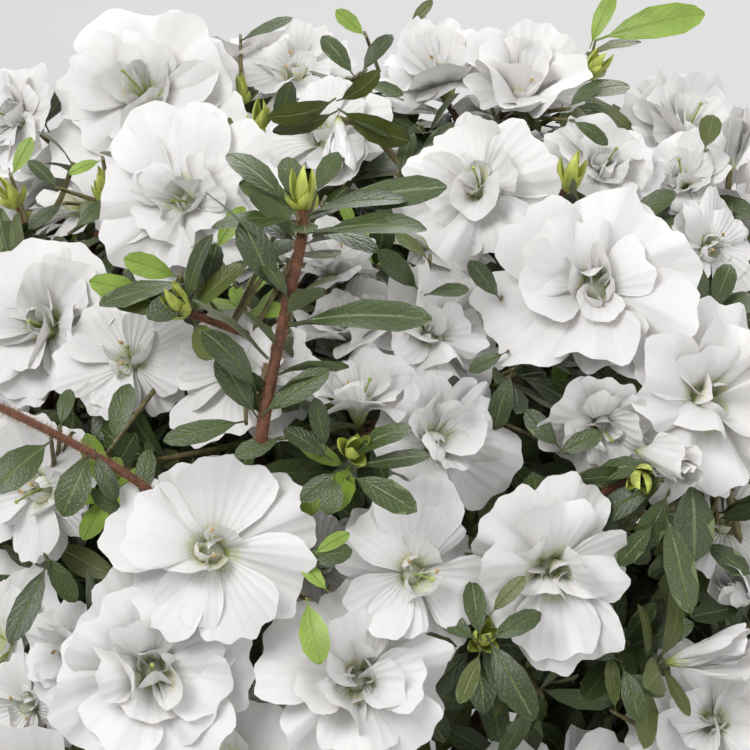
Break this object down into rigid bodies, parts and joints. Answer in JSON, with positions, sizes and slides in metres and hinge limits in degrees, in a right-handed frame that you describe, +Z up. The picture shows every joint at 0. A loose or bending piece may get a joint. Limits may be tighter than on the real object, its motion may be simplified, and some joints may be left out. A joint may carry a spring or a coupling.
{
  "type": "double-flowered azalea shrub",
  "caption": "Low rounded evergreen azalea shrub in full bloom, with a short flared trunk, low boughs and masses of twigs, leaves and white double flowers.",
  "frame": {"origin": "middle of the trunk's flat cut at ground level", "axes": "+Z up along the trunk, -Y out of the shrub's best side, +X to the right seen from that side"},
  "size_m": [0.4906, 0.5034, 0.4269],
  "materials": {
    "bark": "rough, reddish brown bark",
    "foliage": "dark green leaves and white petals together, as seen from far away",
    "petals": "soft white petals",
    "leaves": "satin dark green leaves",
    "twigs": "reddish brown, bristly young wood"
  },
  "bodies": {
    "root": {"trunk": "bark", "bough_top": "bark", "bough_upper_1": "bark", "bough_upper_2": "bark", "bough_upper_3": "bark", "bough_upper_4": "bark", "bough_upper_5": "bark", "bough_lower_1": "bark", "bough_lower_2": "bark", "bough_lower_3": "bark", "bough_lower_4": "bark", "bough_lower_5": "bark", "bough_lower_6": "bark", "bough_lower_7": "bark", "foliage_top": "foliage", "foliage_upper_1": "foliage", "foliage_upper_2": "foliage", "foliage_upper_3": "foliage", "foliage_upper_4": "foliage", "foliage_upper_5": "foliage", "foliage_lower_1": "foliage", "foliage_lower_2": "foliage", "foliage_lower_3": "foliage", "foliage_lower_4": "foliage", "foliage_lower_5": "foliage", "foliage_lower_6": "foliage", "foliage_lower_7": "foliage"}
  },
  "joints": []
}
